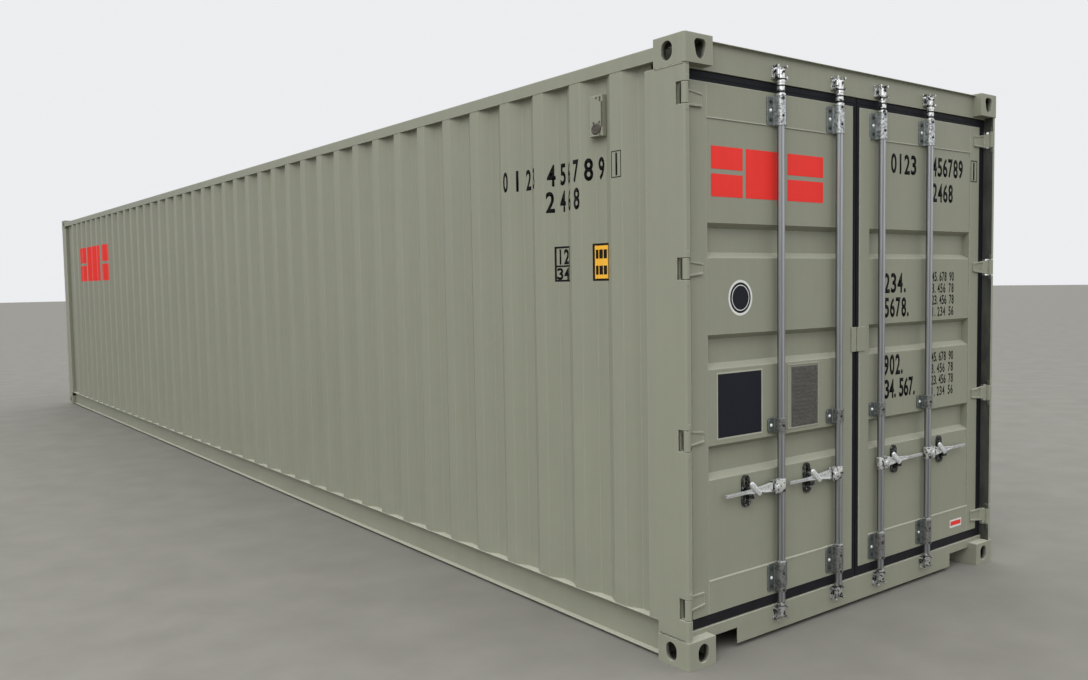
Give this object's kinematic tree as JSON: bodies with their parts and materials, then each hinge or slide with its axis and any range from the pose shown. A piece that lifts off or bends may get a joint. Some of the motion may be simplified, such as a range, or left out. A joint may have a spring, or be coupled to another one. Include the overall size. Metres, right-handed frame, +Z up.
{
  "type": "dry freight container with double doors",
  "caption": "Long steel freight container with corrugated walls, double end doors with lock bars, a plywood floor and a tunnel under its front end.",
  "frame": {"origin": "middle of the footprint, on the ground", "axes": "+X across the width, to the right as seen facing the doors; +Y from the door end to the front end; +Z up"},
  "size_m": [2.438, 12.192, 2.591],
  "materials": {
    "paint": "satin",
    "galvanized": "zinc coated",
    "rubber": "matt",
    "plywood": "varnished",
    "plate": "etched"
  },
  "bodies": {
    "container": {"floor_boards": "plywood", "floor_centre_rail": "paint", "cross_members": "paint", "gooseneck_tunnel": "paint", "tunnel_sides": "paint", "tunnel_lintel": "paint", "bottom_rail_left": "paint", "bottom_rail_right": "paint", "door_sill": "paint", "front_sill": "paint", "bottom_fittings": "paint", "rear_post_left": "paint", "rear_post_right": "paint", "front_post_left": "paint", "front_post_right": "paint", "hinge_pins": "galvanized", "side_wall_left": "paint", "side_wall_right": "paint", "front_wall": "paint", "top_fittings": "paint", "top_rail_left": "paint", "top_rail_right": "paint", "door_header": "paint", "front_header": "paint", "roof_panel": "paint", "ventilators": "paint", "header_keepers": "galvanized", "sill_keepers": "galvanized"},
    "left_door": {"left_door_stiles": "paint", "left_door_rails": "paint", "left_door_panel": "paint", "left_door_gasket": "rubber", "left_door_hinges": "paint", "left_bar_brackets": "galvanized", "left_handle_catches": "galvanized", "left_centre_tab": "paint", "data_plate": "plate"},
    "right_door": {"right_door_stiles": "paint", "right_door_rails": "paint", "right_door_panel": "paint", "right_door_gasket": "rubber", "right_door_hinges": "paint", "right_bar_brackets": "galvanized", "right_handle_catches": "galvanized", "right_centre_tab": "paint"},
    "left_inner_bar": {"left_inner_bar": "galvanized"},
    "left_inner_handle": {"left_inner_handle": "galvanized"},
    "left_outer_bar": {"left_outer_bar": "galvanized"},
    "left_outer_handle": {"left_outer_handle": "galvanized"},
    "right_inner_bar": {"right_inner_bar": "galvanized"},
    "right_inner_handle": {"right_inner_handle": "galvanized"},
    "right_outer_bar": {"right_outer_bar": "galvanized"},
    "right_outer_handle": {"right_outer_handle": "galvanized"}
  },
  "joints": [
    {"name": "left_door_swing", "type": "hinge", "parent": "container", "child": "left_door", "pos_m": [-1.201, -6.078, 1.3], "axis": [0, 0, -1], "range_deg": [0, 265]},
    {"name": "right_door_swing", "type": "hinge", "parent": "container", "child": "right_door", "pos_m": [1.201, -6.078, 1.3], "axis": [0, 0, 1], "range_deg": [0, 265]},
    {"name": "left_inner_bar_turn", "type": "hinge", "parent": "left_door", "child": "left_inner_bar", "pos_m": [-0.172, -6.07, 1.3], "axis": [0, 0, -1], "range_deg": [-100, 0]},
    {"name": "left_inner_handle_lift", "type": "hinge", "parent": "left_inner_bar", "child": "left_inner_handle", "pos_m": [-0.21, -6.07, 0.686], "axis": [0, 1, 0], "range_deg": [0, 25]},
    {"name": "left_outer_bar_turn", "type": "hinge", "parent": "left_door", "child": "left_outer_bar", "pos_m": [-0.596, -6.07, 1.3], "axis": [0, 0, -1], "range_deg": [-100, 0]},
    {"name": "left_outer_handle_lift", "type": "hinge", "parent": "left_outer_bar", "child": "left_outer_handle", "pos_m": [-0.634, -6.07, 0.686], "axis": [0, 1, 0], "range_deg": [0, 25]},
    {"name": "right_inner_bar_turn", "type": "hinge", "parent": "right_door", "child": "right_inner_bar", "pos_m": [0.172, -6.07, 1.3], "axis": [0, 0, 1], "range_deg": [-100, 0]},
    {"name": "right_inner_handle_lift", "type": "hinge", "parent": "right_inner_bar", "child": "right_inner_handle", "pos_m": [0.21, -6.07, 0.686], "axis": [0, -1, 0], "range_deg": [0, 25]},
    {"name": "right_outer_bar_turn", "type": "hinge", "parent": "right_door", "child": "right_outer_bar", "pos_m": [0.596, -6.07, 1.3], "axis": [0, 0, 1], "range_deg": [-100, 0]},
    {"name": "right_outer_handle_lift", "type": "hinge", "parent": "right_outer_bar", "child": "right_outer_handle", "pos_m": [0.634, -6.07, 0.686], "axis": [0, -1, 0], "range_deg": [0, 25]}
  ]
}
